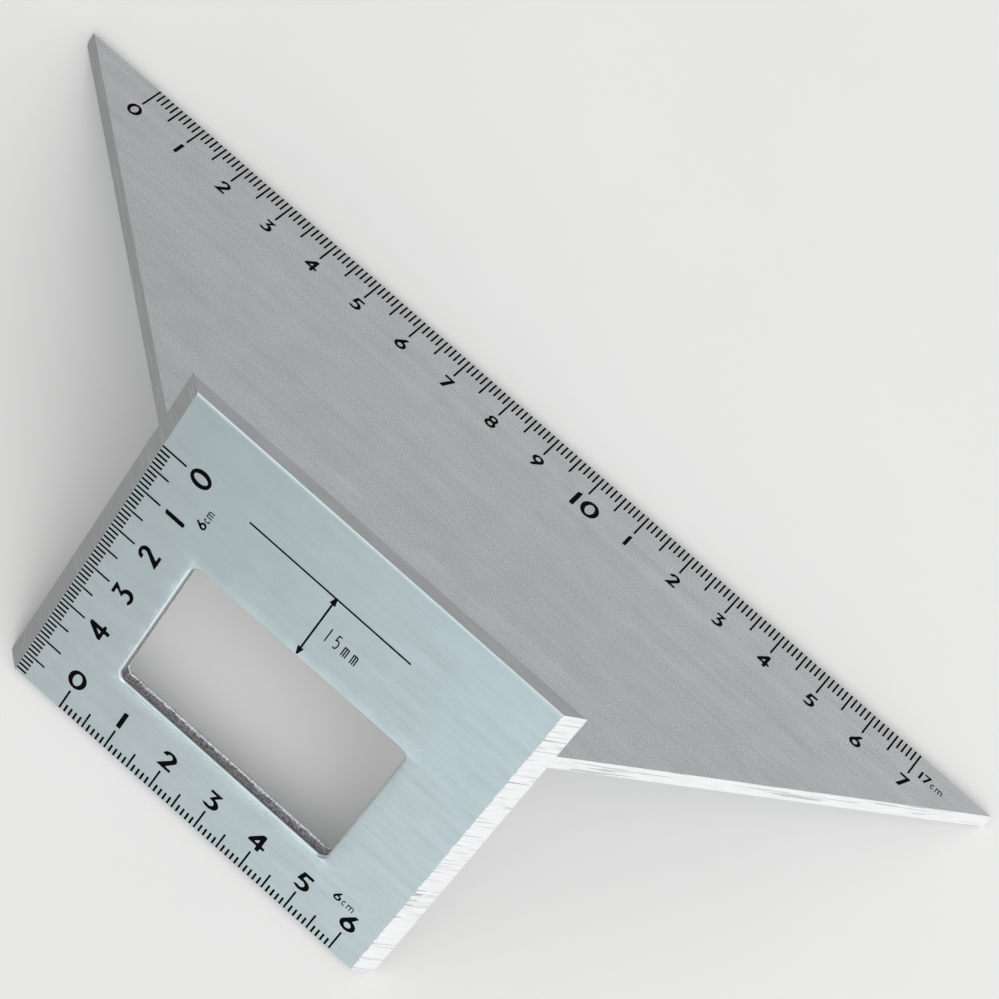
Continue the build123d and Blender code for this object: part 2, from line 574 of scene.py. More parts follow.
def satin_aluminium(metal, name, grain_share, band_share, marks):
    """Etched extrusion: a fine grain, soft bands along the die, clouds, and marks of its own."""
    material, tree, shader, place = new_material(name)
    grain = noise(tree, place, 4.0, detail=2, roughness=0.7)
    bands = noise(tree, stretched(tree, place, (0.008, 1, 1)), 0.5, detail=3, roughness=0.6)
    cloud = noise(tree, stretched(tree, place, (0.45, 1, 1)), 0.3, detail=3)
    die_lines = noise(tree, stretched(tree, place, (0.012, 1, 1)), 3.5, detail=2)
    pattern = total(
        tree,
        spread(tree, grain, MOST, (0.5 - grain_share, 0.5 + grain_share)),
        spread(tree, bands, MOST, (-band_share, band_share)),
        spread(tree, cloud, MOST, (-CLOUD_SHARE, CLOUD_SHARE)),
        spread(tree, die_lines, MOST, (-band_share, band_share)),
        *marks(tree, place, cloud),
    )
    lightness = spread(tree, pattern, (0, LIGHTEST_PATTERN), (0, 1))
    colour = ramp(tree, lightness, tones(metal.satin_colour, SATIN_TONES))
    feed(tree, shader, {
        "Base Color": colour,
        "Roughness": spread(tree, pattern, (0, 1), SATIN_ROUGHNESS),
        "Normal": bump(tree, pattern, SATIN_RELIEF),
        "Metallic": 1,
    })
    return material


def fence_satin(metal):
    """The fence's finish: smooth, with a few thin lines."""
    return satin_aluminium(metal, "fence satin", grain_share=0.14, band_share=0.03, marks=fence_marks)


def blade_satin(metal):
    """The blade's finish: grainy, with soft bands."""
    return satin_aluminium(metal, "blade satin", grain_share=0.58, band_share=0.08, marks=blade_marks)


def sawn_aluminium(metal, name, shade, line_share, crumb_share):
    """Bare cut: rough, with thin lines that run level across the end, and small crumbs."""
    material, tree, shader, place = new_material(name)
    scratches = noise(tree, stretched(tree, place, (0.05, 0.05, 1)), 5.0, detail=3, roughness=0.65)
    lines = noise(tree, stretched(tree, place, (0.03, 0.03, 1)), 2.4, detail=2)
    crumbs = noise(tree, place, 2.4, detail=4, roughness=0.7)
    pattern = total(
        tree,
        spread(tree, scratches, MOST, SCRATCH_TONES),
        spread(tree, lines, SAW_LINE_SPAN, (0, line_share)),
        spread(tree, crumbs, CRUMB_SPAN, (0, crumb_share)),
    )
    # The shade darkens the whole sawn colour, as painted shade where it is below one
    colour = ramp(tree, pattern, tones(metal.sawn_colour, [share * shade for share in SAWN_TONES]))
    feed(tree, shader, {
        "Base Color": colour,
        "Roughness": spread(tree, pattern, (0, 1), SAWN_ROUGHNESS),
        "Normal": bump(tree, pattern, SAWN_RELIEF),
        "Metallic": SAWN_METALLIC,
    })
    return material


# The two ends share one sawn finish; the left end's is darkened as painted shade
def left_sawn(metal):
    """The left cut: fine, with a few pale lines, and darkened to about a third of the sawn colour as painted
    shade.
    """
    return sawn_aluminium(metal, "left sawn shaded", shade=0.36, line_share=0.30, crumb_share=-0.10)


def right_sawn(metal):
    """The right cut: coarse and bright, with dark lines."""
    return sawn_aluminium(metal, "right sawn", shade=1.0, line_share=-1.0, crumb_share=-0.30)


def punched_aluminium(metal):
    """The window's wall: smooth where the punch went in and torn towards the back, with painted shade towards
    the printed face and a painted highlight along its torn back edge.
    """
    material, tree, shader, place = new_material("punched aluminium")
    _, back, _ = along_back_up(tree, place)
    thickness = FENCE_THICKNESS / MM
    speckle = noise(tree, place, 2.4, detail=4, roughness=0.75)
    ragged = noise(tree, place, 0.8, detail=2)
    depth = total(tree, back, spread(tree, ragged, CORE, RAGGED_DEPTH))
    stops = [(share, tone(metal.punched_colour, lightness)) for share, lightness in PUNCHED_SHADE_AND_HIGHLIGHT_TONES]
    bands = ramp(tree, spread(tree, depth, (0, thickness), (0, 1)), stops)
    torn = [share * thickness for share in TORN_SHARE]
    feed(tree, shader, {
        "Base Color": shaded(tree, bands, spread(tree, speckle, SPECKLE_SPAN, SPECKLE_TONES)),
        "Roughness": spread(tree, depth, (0, thickness), PUNCHED_ROUGHNESS),
        "Normal": bump(tree, speckle, PUNCHED_RELIEF),
        "Metallic": spread(tree, depth, torn, (1, TORN_METALLIC)),
    })
    return material


def black_ink(print_sizes):
    """Screen-printed ink: matt black, a little thin in places."""
    material, tree, shader, place = new_material("black ink")
    thinness = noise(tree, place, 3.0, detail=3)
    thin = tone(print_sizes.ink_colour, THIN_INK_TONE)
    feed(tree, shader, {
        "Base Color": ramp(tree, thinness, [(0.35, print_sizes.ink_colour), (0.85, thin)]),
        "Roughness": spread(tree, thinness, CORE, INK_ROUGHNESS),
        "Specular IOR Level": INK_GLOSS,
    })
    return material


def pale_floor(stage):
    """A plain pale sheet."""
    material, tree, shader, place = new_material("pale floor")
    cloud = noise(tree, place, 0.02, detail=2)
    feed(tree, shader, {
        "Base Color": ramp(tree, spread(tree, cloud, CORE, (0, 1)), tones(stage.floor_colour, FLOOR_TONES)),
        "Roughness": FLOOR_ROUGHNESS,
        "Specular IOR Level": FLOOR_GLOSS,
    })
    return material


def made_once(name, maker, settings):
    """A material that several operators share."""
    return bpy.data.materials.get(name) or maker(settings)


def ink():
    """The ink that all the print shares."""
    return made_once("black ink", black_ink, bpy.context.scene.mitre_square_print)


# Metal

# Saw marks: their spacing as shares of the mean, and how seldom an edge is torn far
SPACING_SHARES = (0.4, 1.6)
RAGGED_POWER = 1.5

# What tells surfaces apart: how far a sawn end faces along the square, and a wall towards the back
SAWN_FACING = 0.4
WALL_FACING = 0.1
CUT_ROOM = 0.5 * MM
SMOOTH_ANGLE = math.radians(40)
SATIN, LEFT_SAWN_SHADED, RIGHT_SAWN, PUNCHED = range(4)

# How much more a large face counts in the shading where faces meet
LARGE_FACE_WEIGHT = 100


def saw_levels(metal):
    """Levels of the saw marks, from under the fence to over its lip, two for each mark's step."""
    draw = random.Random(metal.saw_seed)
    levels = [FENCE_LOW - metal.saw_mark_spacing]
    while levels[-1] < FENCE_HIGH:
        level = levels[-1] + metal.saw_mark_spacing * draw.uniform(*SPACING_SHARES)
        levels += [level, level + metal.saw_mark_step]
    return levels


def saw_depths(metal, levels, side, mark_depth, raggedness):
    """How far one end is cut back at each level, at the fence's inner face and at its printed face."""
    draw = random.Random(metal.saw_seed + side)
    inner = [mark_depth * draw.random() for _ in levels]
    printed = [depth + raggedness * draw.random() ** RAGGED_POWER for depth in inner]
    return inner, printed


def recut(node, name):
    """A copy of a metal node with real saw marks on both ends, and with its surfaces told apart."""
    metal = bpy.context.scene.mitre_square_metal
    levels = saw_levels(metal)
    left = saw_depths(metal, levels, -1, metal.left_mark_depth, metal.left_raggedness)
    right = saw_depths(metal, levels, 1, metal.right_mark_depth, metal.right_raggedness)
    shape = bmesh.new()
    shape.from_mesh(frame["nodes"][node].data)
    bmesh.ops.remove_doubles(shape, verts=shape.verts, dist=WELD)
    low = -reach(node, -UP) - STOP_LEVEL
    high = reach(node, UP) - STOP_LEVEL
    for level in levels:
        if low < level < high:
            everything = [*shape.verts, *shape.edges, *shape.faces]
            plane = UP * (STOP_LEVEL + level)
            bmesh.ops.bisect_plane(shape, geom=everything, dist=WELD, plane_co=plane, plane_no=UP)
    for vertex in shape.verts:
        back = BACK.dot(vertex.co) - PRINTED_FACE
        if abs(abs(vertex.co.x) - back - HALF_FRONT) < ON_FACE:
            level = UP.dot(vertex.co) - STOP_LEVEL
            inner, printed = left if vertex.co.x < 0 else right
            cuts = (np.interp(level, levels, printed), np.interp(level, levels, inner))
            cut = np.interp(min(back / FENCE_THICKNESS, 1), (0, 1), cuts)
            vertex.co.x -= math.copysign(cut, vertex.co.x)
    sort_surfaces(shape)
    tear_window(shape, metal)
    mesh = bpy.data.meshes.new(name)
    shape.to_mesh(mesh)
    shape.free()
    return mesh


def sort_surfaces(shape):
    """Gives each face its finish, and keeps the edges between finishes sharp."""
    shape.normal_update()
    for face in shape.faces:
        middle = face.calc_center_median()
        back = BACK.dot(middle) - PRINTED_FACE
        cut_off = abs(abs(middle.x) - back - HALF_FRONT) < CUT_ROOM
        face.material_index = SATIN
        face.smooth = True
        if abs(face.normal.x) > SAWN_FACING and cut_off:
            face.material_index = LEFT_SAWN_SHADED if middle.x < 0 else RIGHT_SAWN
            face.smooth = False
        elif in_window(middle) and abs(face.normal.dot(BACK)) < WALL_FACING:
            face.material_index = PUNCHED
    for edge in shape.edges:
        finishes = {face.material_index for face in edge.link_faces}
        edge.smooth = len(finishes) == 1 and edge.calc_face_angle(math.pi) < SMOOTH_ANGLE


def in_window(place):
    """Whether a place lies in the window or on its wall."""
    level = UP.dot(place) - STOP_LEVEL
    return abs(place.x) < WINDOW_HALF + ON_FACE and WINDOW_LOW - ON_FACE < level < WINDOW_HIGH + ON_FACE


def tear_window(shape, metal):
    """Widens the window where it comes out at the fence's back."""
    middle = STOP_LEVEL + (WINDOW_HIGH + WINDOW_LOW) / 2
    half_height = (WINDOW_HIGH - WINDOW_LOW) / 2
    back_face = PRINTED_FACE + FENCE_THICKNESS
    for vertex in shape.verts:
        if in_window(vertex.co) and abs(BACK.dot(vertex.co) - back_face) < ON_FACE:
            rise = UP.dot(vertex.co) - middle
            vertex.co.x += vertex.co.x * metal.end_break_out / WINDOW_HALF
            vertex.co += UP * (rise * metal.break_out / half_height)


def plain_mesh(piece):
    """The piece's mesh as its modifiers leave it."""
    evaluated = piece.evaluated_get(bpy.context.evaluated_depsgraph_get())
    return bpy.data.meshes.new_from_object(evaluated)


def metal_piece(node):
    """The metal piece that stands for a node."""
    metal = bpy.context.scene.mitre_square_metal
    name = f"{node}_metal"
    piece = bpy.data.objects.new(name, recut(node, name))
    bpy.context.collection.objects.link(piece)
    for finish, maker in (
        (f"{node} satin", fence_satin if node == "fence" else blade_satin),
        ("left sawn shaded", left_sawn),
        ("right sawn", right_sawn),
        ("punched aluminium", punched_aluminium),
    ):
        piece.data.materials.append(made_once(finish, maker, metal))
    flat = piece.modifiers.new("Flat faces", "WEIGHTED_NORMAL")
    flat.weight = LARGE_FACE_WEIGHT
    flat.keep_sharp = True
    mesh = plain_mesh(piece)
    piece.modifiers.remove(flat)
    piece.data = mesh
    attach(piece, "root")
    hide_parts(node)


class MITRESQUARE_OT_fence(bpy.types.Operator):
    """Make the fence, with its sawn ends and punched window"""

    bl_idname = "mitre_square.fence"
    bl_label = "Fence"

    def execute(self, context):
        metal_piece("fence")
        return {"FINISHED"}


class MITRESQUARE_OT_blade(bpy.types.Operator):
    """Make the blade, with its mitred ends"""

    bl_idname = "mitre_square.blade"
    bl_label = "Blade"

    def execute(self, context):
        metal_piece("blade")
        return {"FINISHED"}


# Print

# Drawing of the glyphs: degrees from point to point of an arc, and how corners are mitred, rounded or left
ARC_STEP = 12
LEAST_MITRE = 0.5
SAME_POINT = 1e-6
SHARP_TURN = math.radians(35)
CORNER_EASE = 0.05
SIDE_EASE = 0.4


def arc(centre, radii, start, end):
    """Points along part of an ellipse, from one angle to another, in degrees."""
    count = max(2, round(abs(end - start) / ARC_STEP))
    turns = [math.radians(start + (end - start) * step / count) for step in range(count + 1)]
    return [(centre[0] + radii[0] * math.cos(turn), centre[1] + radii[1] * math.sin(turn)) for turn in turns]


def oval(centre, radii):
    """Points round a whole ellipse."""
    return arc(centre, radii, 0, 360)[:-1]


def bold_digits():
    """Outlines of the bold digits, in shares of their height, each followed by its holes."""
    one = [(-0.11, -0.5), (0.11, -0.5), (0.11, 0.5), (-0.11, 0.43)]
    two = [
        *arc((0.02, 0.215), (0.355, 0.285), 183, -32),
        (0.04, -0.36), (0.36, -0.36), (0.36, -0.5), (-0.37, -0.5),
        *arc((0.01, 0.215), (0.135, 0.145), -38, 183),
    ]
    bowl = arc((-0.04, -0.185), (0.40, 0.315), 80, -145)
    hollow = arc((-0.06, -0.18), (0.18, 0.17), -125, 95)
    three = [(-0.31, 0.5), (0.32, 0.5), *bowl, *hollow, (-0.20, 0.0), (0.03, 0.36), (-0.31, 0.36)]
    four = [
        (0.05, 0.5), (0.247, 0.5), (0.247, -0.116), (0.426, -0.116), (0.426, -0.263), (0.247, -0.263),
        (0.247, -0.5), (0.047, -0.5), (0.047, -0.263), (-0.426, -0.263), (-0.426, -0.13),
    ]
    five = [
        (-0.22, 0.5), (0.32, 0.5), (0.32, 0.345), (-0.06, 0.345),
        *arc((-0.03, -0.185), (0.39, 0.315), 100, -143),
        *arc((-0.05, -0.18), (0.18, 0.17), -125, 110), (-0.34, -0.03),
    ]
    six = [(0.07, 0.5), (0.255, 0.5), *arc((0, -0.185), (0.385, 0.315), 80, -210)]
    six_hole = oval((0, -0.19), (0.17, 0.16))
    seven = [(-0.36, 0.5), (0.38, 0.5), (0.0, -0.5), (-0.26, -0.5), (0.10, 0.345), (-0.36, 0.345)]
    eight = [*arc((0, 0.235), (0.315, 0.265), -36, 216), *arc((0, -0.21), (0.37, 0.29), 134, 406)]
    return {
        "0": [oval((0, 0), (0.435, 0.5)), oval((0, 0), (0.212, 0.345))],
        "1": [one],
        "2": [two],
        "3": [three],
        "4": [four, [(0.047, 0.15), (0.047, -0.116), (-0.16, -0.116)]],
        "5": [five],
        "6": [six, six_hole],
        "7": [seven],
        "8": [eight, oval((0, 0.235), (0.14, 0.125)), oval((0, -0.21), (0.165, 0.135))],
        "9": [half_turn(six), half_turn(six_hole)],
    }


def half_turn(outline):
    """An outline turned upside down."""
    return [(-x, -y) for x, y in outline]


def pen_stroke(points, width):
    """The outline of a stroke of even width along a line of points."""
    sides = ([], [])
    for index, point in enumerate(points):
        here = Vector(point)
        before = Vector(points[max(index - 1, 0)])
        after = Vector(points[min(index + 1, len(points) - 1)])
        arriving = (here - before) if index else (after - here)
        leaving = (after - here) if index < len(points) - 1 else (here - before)
        middle = (arriving.normalized() + leaving.normalized()).normalized()
        lean = max(middle.dot(leaving.normalized()), LEAST_MITRE)
        out = Vector((-middle.y, middle.x)) * (width / 2 / lean)
        sides[0].append(tuple(here + out))
        sides[1].append(tuple(here - out))
    return [*sides[0], *reversed(sides[1])]


def letter_m(width, pen):
    """The outline of a small m, as shares of its height: three stems and two arches."""
    pitch = (width - pen) / 2
    gap = pitch - pen
    left = -width / 2
    shoulder = 0.5 - (gap / 2 + pen)
    spring = math.degrees(math.acos(gap / (gap + 2 * pen)))
    outline = [(left, -0.5), (left, 0.5), (left + pen, 0.5)]
    for arch, end in ((0, spring), (1, 0)):
        middle = left + pen + gap / 2 + arch * pitch
        outline += arc((middle, shoulder), (gap / 2 + pen, gap / 2 + pen), 180 - spring, end)
    for arch in (1, 0):
        middle = left + pen + gap / 2 + arch * pitch
        outline.append((middle + gap / 2 + (pen if arch else 0), -0.5))
        outline.append((middle + gap / 2, -0.5))
        outline += arc((middle, shoulder), (gap / 2, gap / 2), 0, 180)
        outline.append((middle - gap / 2, -0.5))
    return without_repeats(outline)


def without_repeats(outline):
    """An outline with no point that repeats the one before it."""
    pairs = zip(outline, [outline[-1], *outline[:-1]], strict=True)
    return [point for point, before in pairs if math.dist(point, before) > SAME_POINT]


def thin_letters():
    """Outlines of the thin letters and digits, in shares of their height."""
    open_ring = arc((0, 0), (0.24, 0.42), 40, 320)
    thin_five = [(0.10, 0.46), (-0.10, 0.46), (-0.12, 0.06), *arc((-0.01, -0.16), (0.13, 0.29), 95, -125)]
    return {
        "c": [pen_stroke(open_ring, 0.16)],
        "m": [letter_m(1.2, 0.15)],
        "thin 1": [pen_stroke([(0, -0.5), (0, 0.5)], 0.072)],
        "thin 5": [pen_stroke(thin_five, 0.075)],
        "tall m": [letter_m(0.5, 0.11)],
    }


def eased(outline):
    """An outline with its sharp corners rounded, as thick ink rounds them."""
    points = [Vector(point) for point in outline]
    result = []
    for index, corner in enumerate(points):
        arriving = corner - points[index - 1]
        leaving = points[(index + 1) % len(points)] - corner
        if arriving.angle(leaving) < SHARP_TURN:
            result.append(tuple(corner))
            continue
        cut = min(CORNER_EASE, SIDE_EASE * arriving.length, SIDE_EASE * leaving.length)
        start = corner - arriving.normalized() * cut
        end = corner + leaving.normalized() * cut
        result += [tuple(start), tuple((start + 2 * corner + end) / 4), tuple(end)]
    return result


GLYPHS = {
    name: [eased(outline) for outline in outlines]
    for name, outlines in {**bold_digits(), **thin_letters()}.items()
}


def film_mesh(name, outlines):
    """Outlines as a closed film, one unit thick."""
    rings = [[Vector((x, y, 0)) for x, y in outline] for outline in outlines]
    points = [point for ring in rings for point in ring]
    count = len(points)
    top = tessellate_polygon(rings)
    faces = [tuple(index + count for index in triangle) for triangle in top]
    faces += [tuple(reversed(triangle)) for triangle in top]
    start = 0
    for ring in rings:
        for step in range(len(ring)):
            here, after = start + step, start + (step + 1) % len(ring)
            faces.append((here, after, after + count, here + count))
        start += len(ring)
    mesh = bpy.data.meshes.new(name)
    mesh.from_pydata([*points, *(point + Vector((0, 0, 1)) for point in points)], [], faces)
    shape = bmesh.new()
    shape.from_mesh(mesh)
    bmesh.ops.recalc_face_normals(shape, faces=shape.faces)
    shape.to_mesh(mesh)
    shape.free()
    return mesh


def glyph_collection():
    """The glyphs to print with, in the order of their list."""
    collection = bpy.data.collections.get("Glyphs") or bpy.data.collections.new("Glyphs")
    if not collection.objects:
        for index, outlines in enumerate(GLYPHS.values()):
            name = f"glyph_{index:02d}"
            collection.objects.link(bpy.data.objects.new(name, film_mesh(name, outlines)))
    return collection


def printing_tree():
    """Nodes that stand a glyph on each point, at its height and turn, as one film of ink."""
    tree = bpy.data.node_groups.get("Print glyphs")
    if tree:
        return tree
    tree = bpy.data.node_groups.new("Print glyphs", "GeometryNodeTree")
    tree.interface.new_socket("Places", in_out="INPUT", socket_type="NodeSocketGeometry")
    tree.interface.new_socket("Glyphs", in_out="INPUT", socket_type="NodeSocketCollection")
    tree.interface.new_socket("Ink thickness", in_out="INPUT", socket_type="NodeSocketFloat")
    tree.interface.new_socket("Ink", in_out="INPUT", socket_type="NodeSocketMaterial")
    tree.interface.new_socket("Print", in_out="OUTPUT", socket_type="NodeSocketGeometry")
    given = tree.nodes.new("NodeGroupInput")
    glyphs = tree.nodes.new("GeometryNodeCollectionInfo")
    glyphs.inputs["Separate Children"].default_value = True
    glyphs.inputs["Reset Children"].default_value = True
    stand = tree.nodes.new("GeometryNodeInstanceOnPoints")
    stand.inputs["Pick Instance"].default_value = True
    size = tree.nodes.new("ShaderNodeCombineXYZ")
    turn = tree.nodes.new("ShaderNodeCombineXYZ")
    real = tree.nodes.new("GeometryNodeRealizeInstances")
    inked = tree.nodes.new("GeometryNodeSetMaterial")
    result = tree.nodes.new("NodeGroupOutput")
    read = {}
    for name, kind in (("glyph", "INT"), ("height", "FLOAT"), ("turn", "FLOAT")):
        read[name] = tree.nodes.new("GeometryNodeInputNamedAttribute")
        read[name].data_type = kind
        read[name].inputs["Name"].default_value = name
    for source, target in (
        (given.outputs["Glyphs"], glyphs.inputs["Collection"]),
        (given.outputs["Places"], stand.inputs["Points"]),
        (glyphs.outputs["Instances"], stand.inputs["Instance"]),
        (read["glyph"].outputs["Attribute"], stand.inputs["Instance Index"]),
        (read["height"].outputs["Attribute"], size.inputs["X"]),
        (read["height"].outputs["Attribute"], size.inputs["Y"]),
        (given.outputs["Ink thickness"], size.inputs["Z"]),
        (size.outputs["Vector"], stand.inputs["Scale"]),
        (read["turn"].outputs["Attribute"], turn.inputs["Z"]),
        (turn.outputs["Vector"], stand.inputs["Rotation"]),
        (stand.outputs["Instances"], real.inputs["Geometry"]),
        (real.outputs["Geometry"], inked.inputs["Geometry"]),
        (given.outputs["Ink"], inked.inputs["Material"]),
        (inked.outputs["Geometry"], result.inputs["Print"]),
    ):
        tree.links.new(source, target)
    return tree


def print_piece(name, marks, face):
    """Prints marks on a face as one piece. A mark is a glyph, its place, its height and its turn."""
    settings = bpy.context.scene.mitre_square_print
    mesh = bpy.data.meshes.new(name)
    mesh.from_pydata([(*place, 0) for _, place, _, _ in marks], [], [])
    order = list(GLYPHS)
    columns = (
        ("glyph", "INT", [order.index(glyph) for glyph, _, _, _ in marks]),
        ("height", "FLOAT", [height for _, _, height, _ in marks]),
        ("turn", "FLOAT", [turn for _, _, _, turn in marks]),
    )
    for title, kind, values in columns:
        mesh.attributes.new(title, kind, "POINT").data.foreach_set("value", values)
    piece = bpy.data.objects.new(name, mesh)
    bpy.context.collection.objects.link(piece)
    tree = printing_tree()
    modifier = piece.modifiers.new("Print glyphs", "NODES")
    modifier.node_group = tree
    inputs = {"Glyphs": glyph_collection(), "Ink thickness": settings.ink_thickness, "Ink": ink()}
    for socket in tree.interface.items_tree:
        if socket.in_out == "INPUT" and socket.name in inputs:
            modifier[socket.identifier] = inputs[socket.name]
    printed = plain_mesh(piece)
    piece.modifiers.remove(modifier)
    piece.data = printed
    printed.transform(face)
    if not printed.polygons:
        raise RuntimeError(f"nothing was printed for {name}")
    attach(piece, "root")


# Scales: from line to line, from number to number, how often a line is long, and how the side scale is read
LINE_PITCH = 1.0 * MM
NUMBER_PITCH = 10 * LINE_PITCH
LONG_LINE_EVERY = 5
READ_UP = math.pi / 2
LOWER_NUMBERS = range(7)
SIDE_NUMBERS = range(5)

# The blade's large ten: its digits, and how far they stand from its line in shares of their height
LARGE_NUMBER = 10
LARGE_DIGITS = (("1", -0.27), ("0", 0.5))

# Small texts: gaps after their glyphs, and where they start from a scale, its row of numbers or the stop
DIGIT_GAP = 0.32 * MM
LETTER_GAP = 0.45 * MM
BLADE_TOTAL = (1.7 * MM, -5.1 * MM)
LOWER_TOTAL = (27.4 * MM, 1.95 * MM)
SIDE_TOTAL = (5.1 * MM, -8.0 * MM)
GAUGE_GAPS = (1.25 * MM, 0.9 * MM, 0.8 * MM, 0)
GAUGE_TEXT = (1.05 * MM, -8.4 * MM)


def end_line(node, direction):
    """Where the last line of a scale lies along a direction."""
    places = [direction.dot(vertex.co) for vertex in frame["nodes"][node].data.vertices]
    outer = max(places)
    inner = min(place for place in places if outer - place < LINE_PITCH / 2)
    return (outer + inner) / 2


def line_of_text(text, left, baseline, turn=0.0):
    """Marks for a line of text, from its glyphs with their heights and the gaps after them."""
    along = Vector((math.cos(turn), math.sin(turn)))
    upright = Vector((-math.sin(turn), math.cos(turn)))
    start = Vector((left, baseline))
    run = 0.0
    marks = []
    for glyph, height, gap in text:
        reach_x = [x for outline in GLYPHS[glyph] for x, _ in outline]
        width = (max(reach_x) - min(reach_x)) * height
        middle = run - min(reach_x) * height
        place = start + along * middle + upright * (height / 2)
        marks.append((glyph, tuple(place), height, turn))
        run += width + gap
    return marks


def total_text(settings, digits):
    """The small text that gives a scale's whole length in centimetres."""
    text = [(digit, settings.total_digit, DIGIT_GAP) for digit in digits]
    return [*text, ("c", settings.total_letter, LETTER_GAP), ("m", settings.total_letter, 0)]


class MITRESQUARE_OT_print_lines(bpy.types.Operator):
    """Ink the lines of the three scales and of the gauge mark"""

    bl_idname = "mitre_square.print_lines"
    bl_label = "Printed lines"

    def execute(self, context):
        for node in ("blade_scale", "fence_lower_scale", "fence_side_scale", "gauge_mark"):
            lines = frame["nodes"][node].data
            lines.materials.clear()
            lines.materials.append(ink())
        return {"FINISHED"}


def ink_piece(node, mesh):
    """The printed piece that stands for a node."""
    mesh.materials.append(ink())
    piece = bpy.data.objects.new(f"{node}_ink", mesh)
    bpy.context.collection.objects.link(piece)
    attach(piece, "root")
    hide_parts(node)


def spread_lines(node, across, first):
    """The lines of a scale with their ink spread to each side, the long ones at every fifth place."""
    sizes = bpy.context.scene.mitre_square_print
    shape = bmesh.new()
    shape.from_mesh(frame["nodes"][node].data)
    bmesh.ops.remove_doubles(shape, verts=shape.verts, dist=WELD)
    for vertex in shape.verts:
        place = across.dot(vertex.co) - first
        number = round(place / LINE_PITCH)
        width = sizes.short_line_spread if number % LONG_LINE_EVERY else sizes.long_line_spread
        vertex.co += across * math.copysign(width, place - number * LINE_PITCH)
    mesh = bpy.data.meshes.new(f"{node}_ink")
    shape.to_mesh(mesh)
    shape.free()
    ink_piece(node, mesh)


class MITRESQUARE_OT_fence_lines(bpy.types.Operator):
    """Print the lines of the fence's two scales, as wide as their ink has spread"""

    bl_idname = "mitre_square.fence_lines"
    bl_label = "Fence lines"

    def execute(self, context):
        spread_lines("fence_lower_scale", ALONG, -end_line("fence_lower_scale", -ALONG))
        spread_lines("fence_side_scale", UP, end_line("fence_side_scale", UP))
        return {"FINISHED"}


class MITRESQUARE_OT_blade_numbers(bpy.types.Operator):
    """Print the numbers along the blade, with a larger ten"""

    bl_idname = "mitre_square.blade_numbers"
    bl_label = "Blade numbers"

    def execute(self, context):
        sizes = context.scene.mitre_square_print
        first = -end_line("blade_scale", -ALONG)
        last = end_line("blade_scale", ALONG)
        top = DEPTH - sizes.blade_row
        marks = []
        for number in range(round((last - first) / NUMBER_PITCH) + 1):
            place = first + number * NUMBER_PITCH
            if number == LARGE_NUMBER:
                height = sizes.blade_ten
                digits = [(digit, place + beside * height) for digit, beside in LARGE_DIGITS]
            else:
                height = sizes.blade_digit
                digits = [(str(number % 10), place)]
            marks += [(digit, (middle, top - height / 2), height, 0) for digit, middle in digits]
        marks += line_of_text(total_text(sizes, "17"), last + BLADE_TOTAL[0], DEPTH + BLADE_TOTAL[1])
        print_piece("blade_numbers", marks, BLADE_FACE)
        return {"FINISHED"}


class MITRESQUARE_OT_fence_numbers(bpy.types.Operator):
    """Print the numbers along the lower edge and the left end of the fence"""

    bl_idname = "mitre_square.fence_numbers"
    bl_label = "Fence numbers"

    def execute(self, context):
        sizes = context.scene.mitre_square_print
        first = -end_line("fence_lower_scale", -ALONG)
        row = FENCE_LOW + sizes.fence_lower_row
        lower = [
            (str(number), (first + number * NUMBER_PITCH, row), sizes.fence_digit, 0)
            for number in LOWER_NUMBERS
        ]
        lower += line_of_text(total_text(sizes, "6"), LOWER_TOTAL[0], row + LOWER_TOTAL[1])
        print_piece("fence_lower_numbers", lower, FENCE_FACE)
        top = end_line("fence_side_scale", UP) - STOP_LEVEL
        row = sizes.fence_side_row - HALF_FRONT
        side = [
            (str(number), (row, top - number * NUMBER_PITCH), sizes.fence_digit, READ_UP)
            for number in SIDE_NUMBERS
        ]
        side += line_of_text(total_text(sizes, "6"), row + SIDE_TOTAL[0], SIDE_TOTAL[1], READ_UP)
        print_piece("fence_side_numbers", side, FENCE_FACE)
        return {"FINISHED"}


def gauge_outline(sizes):
    """The gauge's line and arrow as one outline, in millimetres on the fence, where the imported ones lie."""
    vertices = frame["nodes"]["gauge_mark"].data.vertices
    places = [(vertex.co.x, UP.dot(vertex.co) - STOP_LEVEL) for vertex in vertices]
    start, end = min(places)[0], max(places)[0]
    middle, low = min(places, key=lambda place: place[1])
    top = -sizes.gauge_line / 2
    upper_back = top - sizes.upper_head
    lower_back = low + sizes.lower_head
    widths = [
        (sizes.arrow_head - sizes.arrow_taper * sizes.upper_head, top),
        (sizes.arrow_head, upper_back), (sizes.arrow_shaft, upper_back),
        (sizes.arrow_shaft, lower_back), (sizes.arrow_head, lower_back),
        (sizes.arrow_head - sizes.arrow_taper * sizes.lower_head, low),
    ]
    left = [(middle - width / 2, level) for width, level in widths]
    right = [(middle + width / 2, level) for width, level in reversed(widths)]
    outline = [(start, -top), (start, top), *left, *right, (end, top), (end, -top)]
    return [(x / MM, y / MM) for x, y in outline]


class MITRESQUARE_OT_gauge_mark(bpy.types.Operator):
    """Print the gauge's line and arrow, as wide as their ink has spread"""

    bl_idname = "mitre_square.gauge_mark"
    bl_label = "Gauge mark"

    def execute(self, context):
        sizes = context.scene.mitre_square_print
        mesh = film_mesh("gauge_mark_ink", [gauge_outline(sizes)])
        mesh.transform(FENCE_FACE @ Matrix.Diagonal((MM, MM, sizes.ink_thickness, 1)))
        ink_piece("gauge_mark", mesh)
        return {"FINISHED"}


